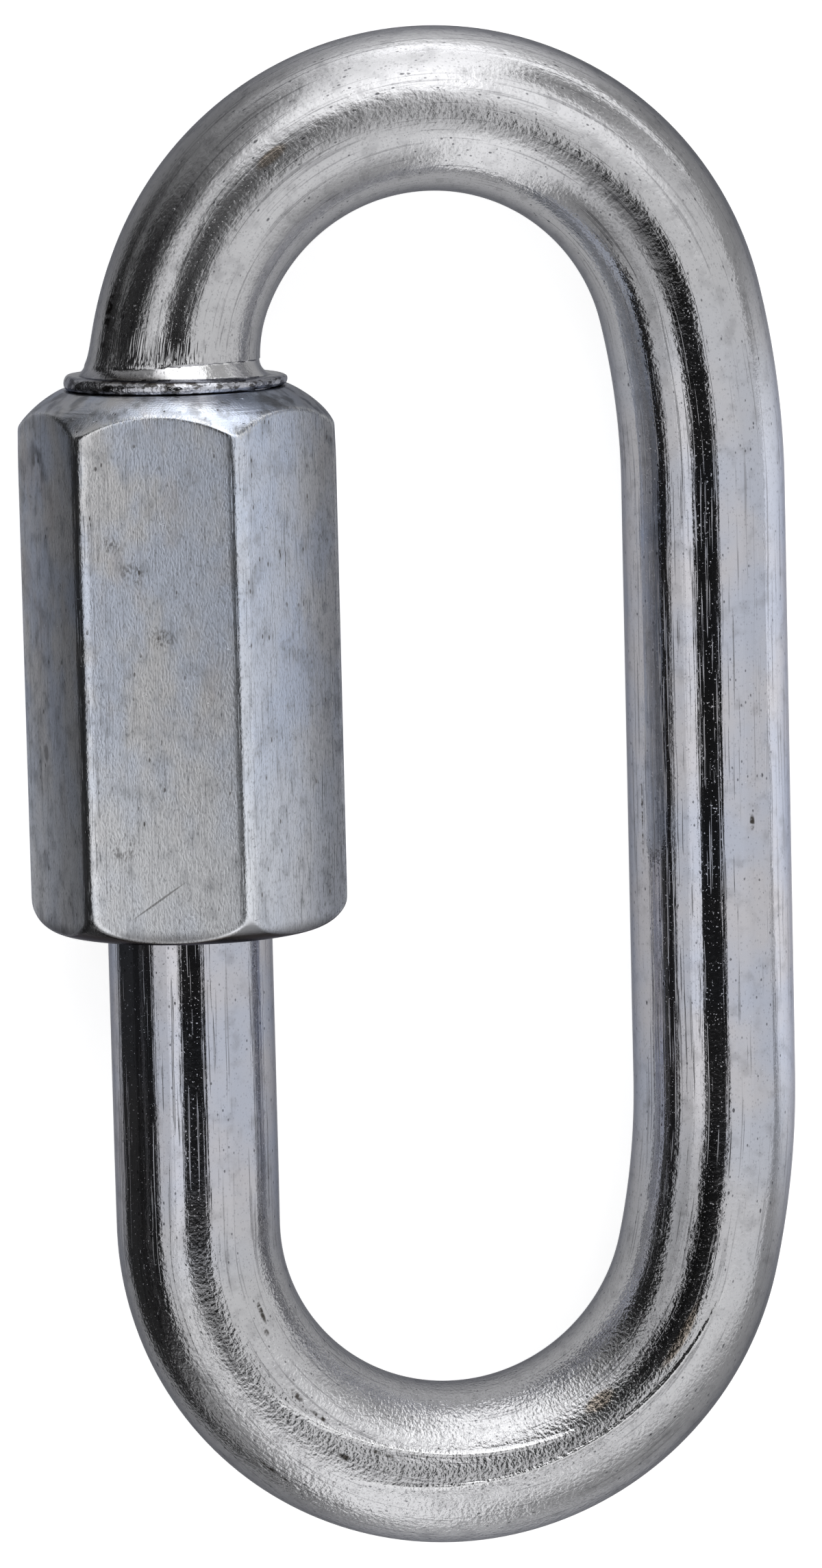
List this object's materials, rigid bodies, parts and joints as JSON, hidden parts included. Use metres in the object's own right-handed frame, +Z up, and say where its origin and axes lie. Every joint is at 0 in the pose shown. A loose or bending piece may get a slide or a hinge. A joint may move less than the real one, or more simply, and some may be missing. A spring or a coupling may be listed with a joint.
{
  "type": "chain quick link",
  "caption": "Oval steel wire link whose open leg is closed by a threaded hexagonal sleeve nut; the nut runs down the leg to let chain or a fitting in.",
  "frame": {"origin": "on the floor that the link lies on, below the middle of its box", "axes": "+Z up from the floor, +Y along the legs towards the collared end, +X from the nut towards the plain leg"},
  "size_m": [0.0466, 0.0932, 0.0182],
  "materials": {
    "zinc_wire": "bright zinc plate with a faint blue tint",
    "zinc_nut": "satin zinc plate with a blue tint"
  },
  "bodies": {
    "link": {"link_body": "zinc_wire"},
    "nut": {"sleeve_nut": "zinc_nut"}
  },
  "joints": [
    {"name": "nut_slide", "type": "slide", "parent": "link", "child": "nut", "axis": [0, -1, 0], "range_m": [0, 0.0175]}
  ]
}
